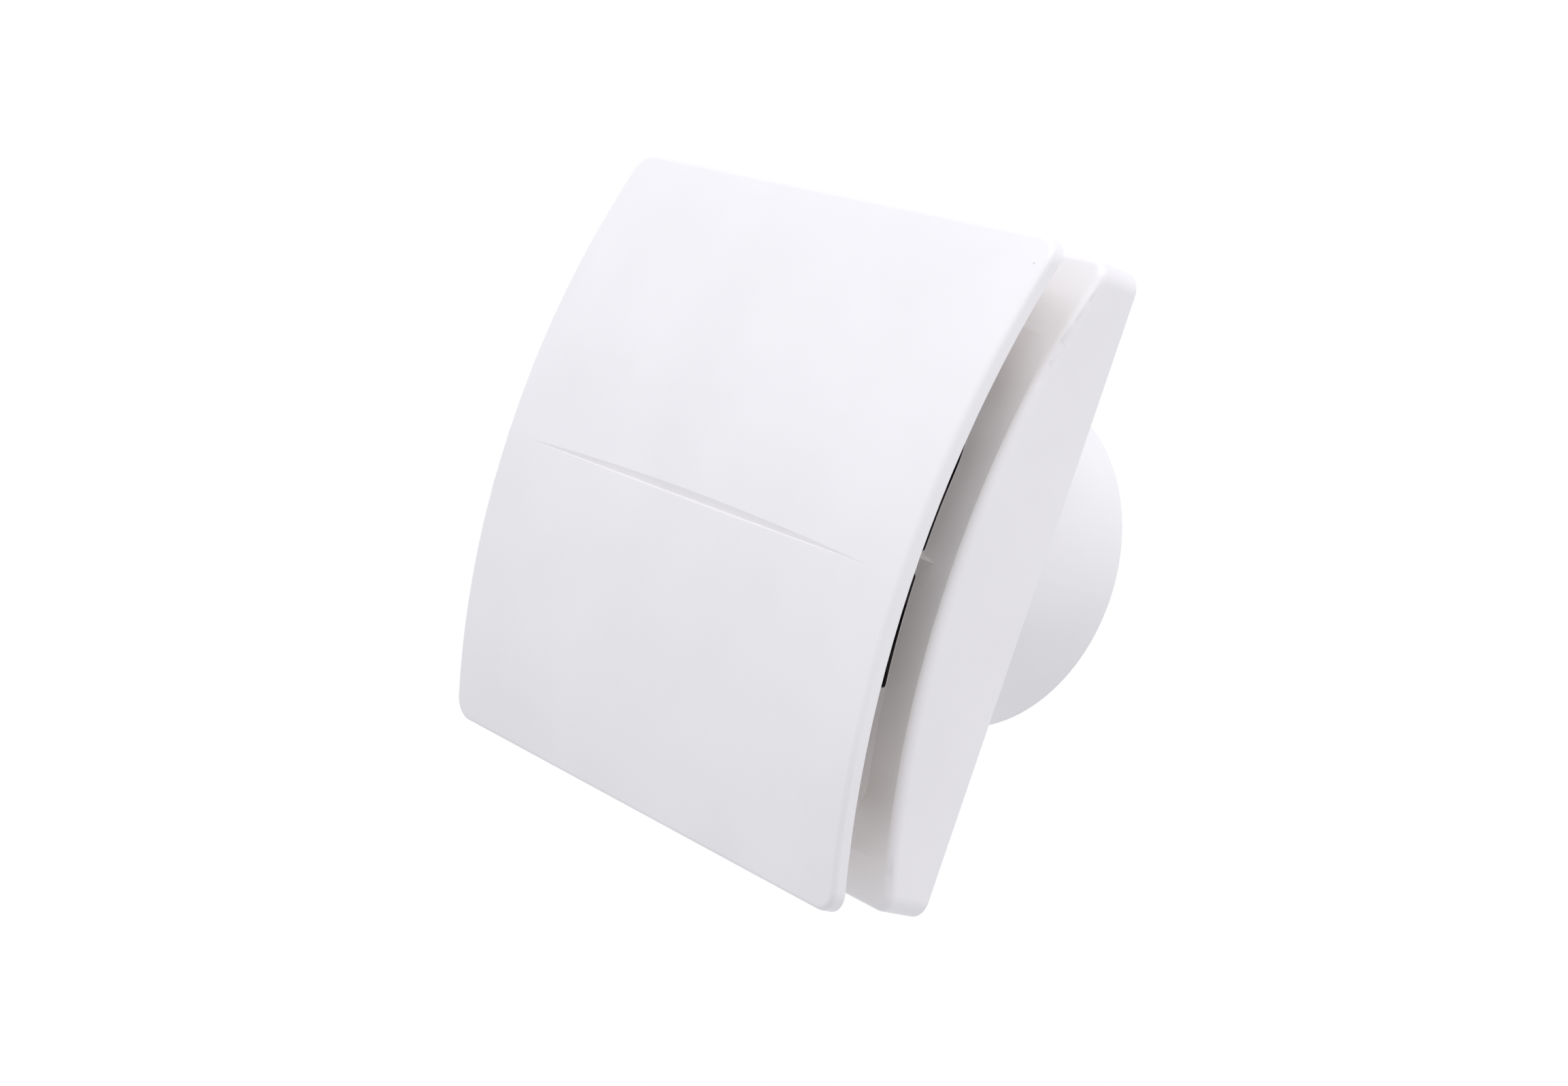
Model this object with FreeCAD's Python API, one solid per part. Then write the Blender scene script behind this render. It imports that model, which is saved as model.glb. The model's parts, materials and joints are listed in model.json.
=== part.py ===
import FreeCAD, Part
import math
import os

# Wall-mounted axial exhaust fan for a 100 mm duct, in millimetres.
# The origin is on the duct axis in the plane of the wall. +Z is up, the room is
# on the -Y side and the duct on the +Y side.

# Duct spigot and wall plate
SPIGOT_DIAMETER = 99.6
SPIGOT_LENGTH = 68.0
SPIGOT_WALL = 2.0
SPIGOT_LIP = 0.8
PLATE_THICKNESS = 3.0
TRAY_WALL = 1.8
TRAY_DEPTH = 7.0
TRAY_FIT = 0.5
COLLAR_STEP = 0.8
COLLAR_DEPTH = 6.5
COLLAR_FLARE = 1.6
WALL_SCREW_INSET = 16.0
WALL_SCREW_HOLE_DIAMETER = 4.6

# Front frame
FRAME_CENTRE_DROP = 5.4
FRAME_WIDTH = 168.0
FRAME_HEIGHT = 168.0
FRAME_DEPTH = 27.7
FRAME_END_DEPTH = 12.1
FRAME_SKIN = 2.2
FRAME_CORNER_RADIUS = 5.2
FRAME_EDGE_FILLET = 2.4
FRAME_LAND = 2.4
FRAME_TOP_BAND = 18.0
FRAME_BOTTOM_BAND = 12.0
DISH_RECESS = 10.0
DISH_WALL_RISE = 0.06
DISH_TOP_RUN = 40.0
DISH_TOP_LIFT_SHARE = 0.012
DISH_TOP_SHARES = (0, 0.2, 0.4, 0.6, 0.8, 1)
DISH_BOTTOM_RUN = 14.0
DISH_BOTTOM_SHARES = (0, 0.25, 0.5, 0.75, 1.03)
PAD_RISE = 0.4
WINDOW_WIDTH = 121.8
WINDOW_TOP_MARGIN = 27.0
WINDOW_BOTTOM_MARGIN = 39.4
WINDOW_CORNER_RADIUS = 1.2
WINDOW_SURROUND = 0.4
MID_BAR_HEIGHT = 5.6
MID_BAR_RECESS = 6.0
MID_BAR_CREST = 1.2

# Front panel
PANEL_WIDTH = 170.0
PANEL_HEIGHT = 170.0
PANEL_DROP = 1.2
PANEL_STANDOFF = 46.2
PANEL_END_STANDOFF = 31.7
PANEL_RIM_DEPTH = 4.0
PANEL_SKIN = 2.4
PANEL_RIM_WALL = 2.2
PANEL_CORNER_RADIUS = 6.0
PANEL_EDGE_FILLET = 1.4
PANEL_REAR_BREAK = 0.3
CREASE_END_MARGIN = 11.5
CREASE_DEPTH = 0.9
CREASE_UPPER_FLANK = 2.0
CREASE_LOWER_FLANK = 0.5
CREASE_DROP = 2.6

# Panel legs and their sockets in the frame
LEG_WINDOW_INSET = 9.7
LEG_FRAME_INSET = 30.0
LEG_ROOT_RADIUS = 5.0
LEG_SHOULDER_RADIUS = 4.2
LEG_TIP_RADIUS = 3.2
LEG_TIP_LENGTH = 4.6
LEG_SEAT_GAP = 0.3
SOCKET_FIT = 0.3
SOCKET_WALL = 1.6
SOCKET_FLOOR_GAP = 0.6

# Frame screws
FRAME_SCREW_LEG_OFFSET = 14.0
FRAME_SCREW_INSET = 22.0
FRAME_SCREW_RADIUS = 1.7
FRAME_SCREW_HEAD_RADIUS = 3.2
FRAME_SCREW_HEAD_HEIGHT = 2.0
FRAME_SCREW_TIP_GAP = 0.6
FRAME_SCREW_CLEARANCE = 0.2
FRAME_BOSS_RADIUS = 4.2
FRAME_BOSS_GAP = 0.3

# Impeller
IMPELLER_TIP_GAP = 1.3
BLADE_COUNT = 7
BLADE_CENTRE = 6.5
BLADE_THICKNESS = 1.5
BLADE_ROOT_CHORD = 20.0
BLADE_TIP_CHORD = 31.0
BLADE_CAMBER = 2.6
BLADE_ROOT_PITCH = 52.0
BLADE_TIP_PITCH = 27.0
HUB_RADIUS = 17.0
HUB_WALL = 1.8
HUB_FRONT = -9.0
HUB_REAR = 17.4
HUB_NOSE_FILLET = 5.0
HUB_BOSS_RADIUS = 4.6
NUT_ACROSS_FLATS = 7.0
NUT_HEIGHT = 3.2
NUT_POCKET_RADIUS = 5.4
NUT_POCKET_DEPTH = 4.6
SHAFT_RADIUS = 2.0
SHAFT_FIT = 0.03
SHAFT_END = 51.5

# Motor cup and guide vanes of the motor carrier
CUP_RADIUS = 29.5
CUP_WALL = 2.0
CUP_FRONT = 19.0
CUP_REAR = 52.0
CUP_SHAFT_HOLE_RADIUS = 4.0
VANE_COUNT = 5
VANE_THICKNESS = 1.8
VANE_FRONT = 26.0
VANE_REAR = 50.0
VANE_CAMBER = 3.0

# Motor
STACK_FRONT = 30.0
STACK_LENGTH = 14.0
STATOR_RADIUS = 26.0
STATOR_RING = 5.0
POLE_COUNT = 4
POLE_NECK_WIDTH = 8.0
POLE_SHOE_THICKNESS = 2.0
POLE_SHOE_ANGLE = 68.0
ROTOR_RADIUS = 11.6
ROTOR_AIR_GAP = 0.4
ROTOR_END_RING = 1.4
ROTOR_END_RING_RADIUS = 10.4
BOBBIN_WALL = 0.8
BOBBIN_FIT = 0.15
BOBBIN_FLANGE = 2.6
WINDING_DEPTH = 3.6
WINDING_LENGTH = 4.2
WASHER_RADIUS = 4.0
WASHER_THICKNESS = 0.4
BRACKET_THICKNESS = 2.0
BRACKET_WIDTH = 13.0
BRACKET_STANDOFF = 4.2
BRACKET_LEG_RADIUS = 3.2
BEARING_LENGTH = 5.0
BEARING_RADIUS = 5.0
BEARING_SEAT_WALL = 1.5
BEARING_END_GAP = 0.1
MOTOR_SCREW_CIRCLE_RADIUS = 22.4
MOTOR_SCREW_RADIUS = 1.5
MOTOR_SCREW_HEAD_RADIUS = 2.6
MOTOR_SCREW_HEAD_HEIGHT = 1.6
MOTOR_SCREW_BITE = 4.0
COVER_THICKNESS = 2.0
COVER_PLUG_DEPTH = 1.4
COVER_PLUG_WALL = 1.4
COVER_FIT = 0.15
COVER_EDGE_CHAMFER = 1.2

# Terminal compartment, cable entry and cable clamp, on the left of the throat
TERMINAL_PLACE_SHARE = 0.62
TERMINAL_DEPTH_SHARE = 0.46
TERMINAL_CENTRE_Z = 0.0
TERMINAL_POLES = 3
TERMINAL_PITCH = 8.0
TERMINAL_HEIGHT = 7.6
TERMINAL_WIRE_RADIUS = 1.7
TERMINAL_SCREW_RADIUS = 1.6
TERMINAL_SCREW_LENGTH = 3.6
TERMINAL_COVER_WALL = 1.2
TERMINAL_COVER_GAP = 0.4
COVER_TAB_LENGTH = 7.0
COVER_TAB_THICKNESS = 1.6
SMALL_SCREW_RADIUS = 1.4
SMALL_SCREW_HEAD_RADIUS = 2.7
SMALL_SCREW_HEAD_HEIGHT = 1.5
SMALL_SCREW_TIP_GAP = 0.6
CLAMP_DROP = 34.0
CLAMP_LENGTH = 20.0
CLAMP_WIDTH = 7.0
CLAMP_THICKNESS = 2.4
CLAMP_CABLE_RADIUS = 3.6
CLAMP_SCREW_SPACING = 14.0
CLAMP_POST_HEIGHT = 3.4
CLAMP_POST_RADIUS = 2.9
ENTRY_EDGE_INSET = 11.0
ENTRY_DROP = 46.0
ENTRY_BORE_RADIUS = 4.0
GROMMET_NECK_WALL = 1.6
GROMMET_FLANGE = 1.8
GROMMET_FLANGE_THICKNESS = 1.6
GROMMET_FIT = 0.05
WALL_RECESS = 1.8

OVERRUN = 1.0

X_AXIS = FreeCAD.Vector(1, 0, 0)
Y_AXIS = FreeCAD.Vector(0, 1, 0)
Z_AXIS = FreeCAD.Vector(0, 0, 1)
ORIGIN = FreeCAD.Vector(0, 0, 0)


def arc_radius(half_height, rise):
    """Radius of an arc that rises by so much over half its height."""
    return (half_height * half_height + rise * rise) / (2 * rise)


# Sizes worked out from the ones above
frame_z = -FRAME_CENTRE_DROP
panel_z = frame_z - PANEL_DROP
spigot_radius = SPIGOT_DIAMETER / 2
bore_radius = spigot_radius - SPIGOT_WALL
seat_radius = spigot_radius + COLLAR_STEP
flange_radius = seat_radius + COLLAR_FLARE
frame_arc_radius = arc_radius(FRAME_HEIGHT / 2, FRAME_DEPTH - FRAME_END_DEPTH)
frame_arc_y = frame_arc_radius - FRAME_DEPTH
panel_arc_radius = arc_radius(PANEL_HEIGHT / 2, PANEL_STANDOFF - PANEL_END_STANDOFF)
panel_arc_y = panel_arc_radius - PANEL_STANDOFF
dish_edge_x = FRAME_WIDTH / 2 - FRAME_LAND
dish_floor_x = WINDOW_WIDTH / 2 + WINDOW_SURROUND
dish_top_z = FRAME_HEIGHT / 2 - FRAME_TOP_BAND
dish_bottom_z = FRAME_HEIGHT / 2 - FRAME_BOTTOM_BAND
tray_inside_x = FRAME_WIDTH / 2 - FRAME_SKIN - TRAY_FIT - TRAY_WALL
side_room = tray_inside_x - flange_radius
terminal_x = -flange_radius - side_room * TERMINAL_PLACE_SHARE
terminal_depth = side_room * TERMINAL_DEPTH_SHARE
entry_x = ENTRY_EDGE_INSET - tray_inside_x
stack_rear = STACK_FRONT + STACK_LENGTH
pole_radius = ROTOR_RADIUS + ROTOR_AIR_GAP
cup_bore = CUP_RADIUS - CUP_WALL
bearing_seat_radius = BEARING_RADIUS + BEARING_SEAT_WALL


def vec(x, y, z):
    return FreeCAD.Vector(x, y, z)


def cylinder(radius, y_low, y_high, x=0, z=0):
    """Round bar along the duct axis."""
    return Part.makeCylinder(radius, y_high - y_low, vec(x, y_low, z), Y_AXIS)


def cone(radius_low, radius_high, y_low, y_high, x=0, z=0):
    """Tapered bar along the duct axis."""
    return Part.makeCone(radius_low, radius_high, y_high - y_low, vec(x, y_low, z), Y_AXIS)


def block(x_low, x_high, y_low, y_high, z_low, z_high):
    return Part.makeBox(x_high - x_low, y_high - y_low, z_high - z_low, vec(x_low, y_low, z_low))


def polygon(points):
    return Part.Face(Part.makePolygon(points + points[:1]))


def rounded_block(width, height, radius, y_low, y_high, z=0):
    """Plate with round corners, width along X and height along Z."""
    plate = block(-width / 2, width / 2, y_low, y_high, z - height / 2, z + height / 2)
    corners = [edge for edge in plate.Edges if abs(edge.tangentAt(edge.FirstParameter).y) > 0.5]
    return plate.makeFillet(radius, corners)


def x_drum(radius, width, axis_y, z):
    """Drum lying along X, whose near side is a front arc."""
    return Part.makeCylinder(radius, width, vec(-width / 2, axis_y, z), X_AXIS)


def arc_y(radius, axis_y, z):
    """Front of such a drum at a height, measured from the frame's centre line."""
    return axis_y - math.sqrt(radius * radius - z * z)


def front_edges(solid, radius):
    """Outer edges of the curved front face."""
    fronts = [f for f in solid.Faces if isinstance(f.Surface, Part.Cylinder) and
              abs(f.Surface.Radius - radius) < PANEL_REAR_BREAK]
    front = max(fronts, key=lambda face: face.Area)
    return front.OuterWire.Edges


def turned(shape, count):
    """Copies of a shape spread evenly round the duct axis."""
    copies = []
    for index in range(count):
        copy = shape.copy()
        copy.rotate(ORIGIN, Y_AXIS, 360.0 * index / count)
        copies.append(copy)
    return copies


def hexagon(across_flats, y_low, y_high):
    corner = across_flats / 2 / math.cos(math.pi / 6)
    points = []
    for index in range(6):
        angle = math.pi / 3 * index
        points.append(vec(corner * math.cos(angle), y_low, corner * math.sin(angle)))
    return polygon(points).extrude(vec(0, y_high - y_low, 0))


def pan_screw(radius, head_radius, head_height, seat_y, tip_y, x, z):
    """Pan-head screw driven towards +Y, with its head in front of the seat."""
    shoulder_y = seat_y - head_height / 2
    head = cylinder(head_radius, shoulder_y, seat_y, x, z)
    head = head.fuse(cone(head_radius - head_height / 2, head_radius, seat_y - head_height, shoulder_y, x, z))
    slot = block(x - head_radius, x + head_radius, seat_y - head_height - OVERRUN,
                 seat_y - head_height / 2, z - head_height / 5, z + head_height / 5)
    return head.fuse(cylinder(radius, seat_y, tip_y, x, z)).cut(slot).removeSplitter()


def curved_blade(radii, chords, pitches, camber, thickness, centre_y):
    """Cambered plate lofted outwards along Z through one section at each radius."""
    wires = []
    for radius, chord, pitch in zip(radii, chords, pitches):
        along = vec(math.cos(math.radians(pitch)), math.sin(math.radians(pitch)), 0)
        across = vec(-along.y, along.x, 0)
        middle = vec(0, centre_y, radius)
        lead = middle - along * (chord / 2)
        trail = middle + along * (chord / 2)
        crown = middle + across * camber
        half = across * (thickness / 2)
        wires.append(Part.Wire([
            Part.Arc(lead + half, crown + half, trail + half).toShape(),
            Part.LineSegment(trail + half, trail - half).toShape(),
            Part.Arc(trail - half, crown - half, lead - half).toShape(),
            Part.LineSegment(lead - half, lead + half).toShape(),
        ]))
    return Part.makeLoft(wires, True, False)


# Front panel: a curved tray with a turned-back rim, a tapered crease and four legs

def leg_places():
    """Legs stand behind the windows' corners, measured from the frame's centre."""
    leg_x = WINDOW_WIDTH / 2 - LEG_WINDOW_INSET
    leg_z = FRAME_HEIGHT / 2 - LEG_FRAME_INSET
    return [(x, z) for x in (-leg_x, leg_x) for z in (-leg_z, leg_z)]


def make_panel():
    deep = PANEL_STANDOFF + OVERRUN
    plate = rounded_block(PANEL_WIDTH, PANEL_HEIGHT, PANEL_CORNER_RADIUS, -deep, OVERRUN, panel_z)
    drum_width = PANEL_WIDTH + 2 * OVERRUN
    plate = plate.common(x_drum(panel_arc_radius, drum_width, panel_arc_y, panel_z))
    plate = plate.cut(x_drum(panel_arc_radius - PANEL_RIM_DEPTH, drum_width, panel_arc_y, panel_z))
    plate = plate.makeFillet(PANEL_EDGE_FILLET, front_edges(plate, panel_arc_radius))
    plate = plate.makeFillet(PANEL_REAR_BREAK, front_edges(plate, panel_arc_radius - PANEL_RIM_DEPTH))
    hollow = rounded_block(PANEL_WIDTH - 2 * PANEL_RIM_WALL, PANEL_HEIGHT - 2 * PANEL_RIM_WALL,
                           PANEL_CORNER_RADIUS - PANEL_RIM_WALL, -deep, OVERRUN, panel_z)
    inner_radius = panel_arc_radius - PANEL_SKIN
    plate = plate.cut(hollow.common(x_drum(inner_radius, drum_width, panel_arc_y, panel_z)))
    plate = plate.cut(make_crease())
    for x, z in leg_places():
        plate = plate.fuse(make_leg(x, z))
    return plate.removeSplitter()


def make_crease():
    """Shallow V left by a wide wheel that dips into the front, so it tapers to a point at each end."""
    half = PANEL_WIDTH / 2 - CREASE_END_MARGIN
    wheel_radius = arc_radius(half, CREASE_DEPTH)
    z = panel_z - CREASE_DROP
    front_y = arc_y(panel_arc_radius, panel_arc_y, CREASE_DROP)
    bottom_y = front_y + CREASE_DEPTH
    flank_share = (CREASE_DEPTH + OVERRUN) / CREASE_DEPTH
    face = polygon([vec(0, bottom_y, z), vec(0, front_y - OVERRUN, z + CREASE_UPPER_FLANK * flank_share),
                    vec(0, front_y - OVERRUN, z - CREASE_LOWER_FLANK * flank_share)])
    hub = vec(0, bottom_y - wheel_radius, z)
    turn = math.degrees(math.asin((half + CREASE_END_MARGIN) / wheel_radius))
    face.rotate(hub, Z_AXIS, -turn)
    return face.revolve(hub, Z_AXIS, 2 * turn)


def socket_radius():
    return LEG_TIP_RADIUS + SOCKET_FIT + SOCKET_WALL


def make_leg(x, z):
    shoulder_y = pad_front_y(z, socket_radius()) - LEG_SEAT_GAP
    leg = cone(LEG_ROOT_RADIUS, LEG_SHOULDER_RADIUS, -PANEL_STANDOFF, shoulder_y, x, frame_z + z)
    leg = leg.common(x_drum(panel_arc_radius - PANEL_SKIN / 2, PANEL_WIDTH, panel_arc_y, panel_z))
    tip_y = shoulder_y + LEG_TIP_LENGTH
    return leg.fuse(cone(LEG_TIP_RADIUS, LEG_TIP_RADIUS - SOCKET_FIT, shoulder_y, tip_y, x, frame_z + z))


# Front frame: a skirt with a curved front edge, dished inwards to two inlet windows

def dish_depth(z):
    """Depth of the dish where its edge is at this height.

    It fades out softly at the top and runs out at a crisp edge at the bottom.
    """
    if z > 0:
        way = min(max((dish_top_z - z) / DISH_TOP_RUN, 0), 1)
        soft = way * way * (3 - 2 * way)
        return DISH_RECESS * (soft * (1 + DISH_TOP_LIFT_SHARE) - DISH_TOP_LIFT_SHARE)
    past = max((DISH_BOTTOM_RUN - dish_bottom_z - z) / DISH_BOTTOM_RUN, 0)
    return DISH_RECESS * (1 - past * past)


def dish_y(z):
    """Front of the dished surface at a height from the frame's centre."""
    first_radius = frame_arc_radius - dish_depth(z)
    radius = frame_arc_radius - dish_depth(z * frame_arc_radius / first_radius)
    return arc_y(radius, frame_arc_y, z)


def pad_front_y(z, radius):
    """Level of a flat round pad that stands a little proud of the dish all round."""
    return min(dish_y(z - radius), dish_y(z + radius)) - PAD_RISE


def dish_outline(z):
    """Closed cross outline of the dish, square to the front arc where its edge is at this height."""
    angle = math.asin(z / frame_arc_radius)
    low = frame_arc_radius - dish_depth(z)
    rise_share = (DISH_RECESS + DISH_WALL_RISE) / DISH_RECESS
    rim_x = dish_floor_x + (dish_edge_x - dish_floor_x) * rise_share
    rim = frame_arc_radius + DISH_WALL_RISE
    lip = rim + OVERRUN
    corners = [(-rim_x, lip), (-rim_x, rim), (-dish_floor_x, low),
               (dish_floor_x, low), (rim_x, rim), (rim_x, lip)]
    points = [vec(x, frame_arc_y - r * math.cos(angle), frame_z + r * math.sin(angle)) for x, r in corners]
    return Part.makePolygon(points + points[:1])


def make_dish():
    """Dished pocket turned about the axis of the front arc, with a lofted run at each end."""
    high_z = dish_top_z - DISH_TOP_RUN
    low_z = DISH_BOTTOM_RUN - dish_bottom_z
    turn = math.degrees(math.asin(high_z / frame_arc_radius) - math.asin(low_z / frame_arc_radius))
    pocket = Part.Face(dish_outline(high_z)).revolve(vec(0, frame_arc_y, frame_z), X_AXIS, turn)
    tops = [dish_outline(high_z + DISH_TOP_RUN * share) for share in DISH_TOP_SHARES]
    bottoms = [dish_outline(low_z - DISH_BOTTOM_RUN * share) for share in DISH_BOTTOM_SHARES]
    return pocket.fuse([Part.makeLoft(tops, True), Part.makeLoft(bottoms, True)])


def window(z_low, z_high, radius):
    return rounded_block(WINDOW_WIDTH, z_high - z_low, radius, -FRAME_DEPTH, OVERRUN,
                         frame_z + (z_low + z_high) / 2)


def make_mid_bar():
    """Ridge between the windows with a crisp crest, level while the dish falls away behind it."""
    front_y = MID_BAR_RECESS - FRAME_DEPTH
    root_y = DISH_RECESS + FRAME_SKIN / 2 - FRAME_DEPTH
    share_of_slope = (DISH_RECESS - MID_BAR_RECESS) / DISH_RECESS
    reach = dish_floor_x + (dish_edge_x - dish_floor_x) * share_of_slope + FRAME_SKIN / 2
    heel = MID_BAR_HEIGHT / 2
    outline = [(front_y, MID_BAR_CREST), (root_y, heel), (root_y, -heel)]
    return polygon([vec(-reach, y, frame_z + z) for y, z in outline]).extrude(vec(2 * reach, 0, 0))


def frame_screw_places():
    """Two screws at opposite corners of the dish, beside the legs' sockets."""
    x = WINDOW_WIDTH / 2 - LEG_WINDOW_INSET - FRAME_SCREW_LEG_OFFSET
    z = FRAME_HEIGHT / 2 - FRAME_SCREW_INSET
    return [(-x, z), (x, -z)]


def frame_pad_foot_y(z):
    """Back of a frame screw's pad, level behind the deepest part of the dish under it."""
    return max(dish_y(z - FRAME_BOSS_RADIUS), dish_y(z + FRAME_BOSS_RADIUS)) + FRAME_SKIN + 2 * PAD_RISE


def make_frame():
    deep = FRAME_DEPTH + OVERRUN
    drum_width = FRAME_WIDTH + 2 * OVERRUN
    outer = rounded_block(FRAME_WIDTH, FRAME_HEIGHT, FRAME_CORNER_RADIUS, -deep, 0, frame_z)
    outer = outer.common(x_drum(frame_arc_radius, drum_width, frame_arc_y, frame_z))
    outer = outer.makeFillet(FRAME_EDGE_FILLET, front_edges(outer, frame_arc_radius))
    inner = rounded_block(FRAME_WIDTH - 2 * FRAME_SKIN, FRAME_HEIGHT - 2 * FRAME_SKIN,
                          FRAME_CORNER_RADIUS - FRAME_SKIN, -deep, OVERRUN, frame_z)
    inner = inner.common(x_drum(frame_arc_radius - FRAME_SKIN, drum_width, frame_arc_y, frame_z))
    dish = make_dish()
    frame = outer.cut(inner.cut(dish.translated(vec(0, FRAME_SKIN, 0)))).cut(dish)
    half_bar = MID_BAR_HEIGHT / 2
    frame = frame.cut(window(half_bar, dish_top_z - WINDOW_TOP_MARGIN, WINDOW_CORNER_RADIUS))
    frame = frame.cut(window(WINDOW_BOTTOM_MARGIN - dish_bottom_z, -half_bar, WINDOW_CORNER_RADIUS))
    frame = frame.fuse(make_mid_bar())
    for x, z in leg_places():
        socket_end_y = -PLATE_THICKNESS - SOCKET_FLOOR_GAP
        frame = frame.fuse(cylinder(socket_radius(), pad_front_y(z, socket_radius()), socket_end_y, x, frame_z + z))
        frame = frame.cut(cylinder(LEG_TIP_RADIUS + SOCKET_FIT, -deep, OVERRUN, x, frame_z + z))
    for x, z in frame_screw_places():
        pad_y = pad_front_y(z, FRAME_BOSS_RADIUS)
        frame = frame.fuse(cylinder(FRAME_BOSS_RADIUS, pad_y, frame_pad_foot_y(z), x, frame_z + z))
        hole = FRAME_SCREW_RADIUS + FRAME_SCREW_CLEARANCE
        frame = frame.cut(cylinder(hole, -deep, OVERRUN, x, frame_z + z))
    return frame.removeSplitter()


def make_frame_screws():
    screws = []
    for x, z in frame_screw_places():
        screws.append(pan_screw(FRAME_SCREW_RADIUS, FRAME_SCREW_HEAD_RADIUS, FRAME_SCREW_HEAD_HEIGHT,
                                pad_front_y(z, FRAME_BOSS_RADIUS), -FRAME_SCREW_TIP_GAP, x, frame_z + z))
    return Part.makeCompound(screws)


# Housing, in three pieces: wall plate with a low tray wall, duct spigot, motor carrier with guide vanes

def small_post(x, z, height, radius):
    return cylinder(radius, -PLATE_THICKNESS - height, -PLATE_THICKNESS / 2, x, z)


def clamp_screw_places():
    z = TERMINAL_CENTRE_Z - CLAMP_DROP
    half = CLAMP_SCREW_SPACING / 2
    return [(entry_x - half, z), (entry_x + half, z)]


def terminal_length():
    return TERMINAL_POLES * TERMINAL_PITCH


def cover_screw_place():
    outer = terminal_length() / 2 + TERMINAL_COVER_GAP + TERMINAL_COVER_WALL
    return terminal_x, TERMINAL_CENTRE_Z + outer + COVER_TAB_LENGTH / 2


def make_wall_plate():
    tray_width = FRAME_WIDTH - 2 * FRAME_SKIN - 2 * TRAY_FIT
    tray_height = FRAME_HEIGHT - 2 * FRAME_SKIN - 2 * TRAY_FIT
    corner = FRAME_CORNER_RADIUS - FRAME_SKIN - TRAY_FIT
    plate = rounded_block(tray_width, tray_height, corner, -TRAY_DEPTH, 0, frame_z)
    plate = plate.cut(rounded_block(tray_width - 2 * TRAY_WALL, tray_height - 2 * TRAY_WALL,
                                    corner / 2, -TRAY_DEPTH - OVERRUN, -PLATE_THICKNESS, frame_z))
    plate = plate.cut(cylinder(seat_radius, -TRAY_DEPTH - OVERRUN, OVERRUN))
    for x, z in frame_screw_places():
        post_y = frame_pad_foot_y(z) + FRAME_BOSS_GAP
        plate = plate.fuse(cylinder(FRAME_BOSS_RADIUS, post_y, -PLATE_THICKNESS / 2, x, frame_z + z))
        plate = plate.cut(cylinder(FRAME_SCREW_RADIUS, -FRAME_DEPTH, -FRAME_SCREW_TIP_GAP, x, frame_z + z))
    wall_x = FRAME_WIDTH / 2 - WALL_SCREW_INSET
    wall_z = FRAME_HEIGHT / 2 - WALL_SCREW_INSET
    for x in (-wall_x, wall_x):
        for z in (-wall_z, wall_z):
            hole = cylinder(WALL_SCREW_HOLE_DIAMETER / 2, -TRAY_DEPTH, OVERRUN, x, frame_z + z)
            plate = plate.cut(hole)
    for x, z in clamp_screw_places():
        plate = plate.fuse(small_post(x, z, CLAMP_POST_HEIGHT, CLAMP_POST_RADIUS))
        plate = plate.cut(cylinder(SMALL_SCREW_RADIUS, -TRAY_DEPTH, -SMALL_SCREW_TIP_GAP, x, z))
    x, z = cover_screw_place()
    plate = plate.cut(cylinder(SMALL_SCREW_RADIUS, -TRAY_DEPTH, -SMALL_SCREW_TIP_GAP, x, z))
    entry_radius = ENTRY_BORE_RADIUS + GROMMET_NECK_WALL + GROMMET_FIT
    entry_z = TERMINAL_CENTRE_Z - ENTRY_DROP
    plate = plate.cut(cylinder(entry_radius, -TRAY_DEPTH, OVERRUN, entry_x, entry_z))
    recess_radius = ENTRY_BORE_RADIUS + GROMMET_NECK_WALL + GROMMET_FLANGE + GROMMET_FIT
    return plate.cut(cylinder(recess_radius, -WALL_RECESS, OVERRUN, entry_x, entry_z))


def make_spigot():
    """Turned duct wall with a stepped seat in the plate, a flange on its room side and a flared inlet."""
    outline = [(bore_radius, -COLLAR_DEPTH + COLLAR_FLARE), (bore_radius, SPIGOT_LENGTH),
               (spigot_radius - SPIGOT_LIP, SPIGOT_LENGTH), (spigot_radius, SPIGOT_LENGTH - SPIGOT_LIP),
               (spigot_radius, 0), (seat_radius, 0), (seat_radius, -PLATE_THICKNESS),
               (flange_radius, -PLATE_THICKNESS), (flange_radius, -COLLAR_DEPTH),
               (bore_radius + COLLAR_FLARE, -COLLAR_DEPTH)]
    return polygon([vec(r, y, 0) for r, y in outline]).revolve(ORIGIN, Y_AXIS, 360)


def motor_screw_places():
    return [(-MOTOR_SCREW_CIRCLE_RADIUS, 0), (MOTOR_SCREW_CIRCLE_RADIUS, 0)]


def front_bracket_y():
    """Front face of the front bearing bracket, which sits on the cup's bosses."""
    return STACK_FRONT - BRACKET_STANDOFF - BRACKET_THICKNESS


def make_motor_carrier():
    cup = cylinder(CUP_RADIUS, CUP_FRONT, CUP_REAR).cut(cylinder(cup_bore, CUP_FRONT + CUP_WALL, CUP_REAR))
    cup = cup.cut(cylinder(CUP_SHAFT_HOLE_RADIUS, CUP_FRONT - OVERRUN, CUP_FRONT + CUP_WALL + OVERRUN))
    for x, z in motor_screw_places():
        cup = cup.fuse(cylinder(BRACKET_LEG_RADIUS, CUP_FRONT + CUP_WALL / 2, front_bracket_y(), x, z))
        cup = cup.cut(cylinder(MOTOR_SCREW_RADIUS, front_bracket_y() - MOTOR_SCREW_BITE, CUP_REAR, x, z))
    middle = (VANE_FRONT + VANE_REAR) / 2
    radii = (CUP_RADIUS - CUP_WALL / 2, spigot_radius - SPIGOT_WALL / 2)
    chord = VANE_REAR - VANE_FRONT
    vane = curved_blade(radii, (chord, chord), (90.0, 90.0), VANE_CAMBER, VANE_THICKNESS, middle)
    vane = vane.common(cylinder(bore_radius, VANE_FRONT - OVERRUN, VANE_REAR + OVERRUN))
    return cup.fuse(turned(vane, VANE_COUNT))


# Impeller and the parts that turn with it

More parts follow.
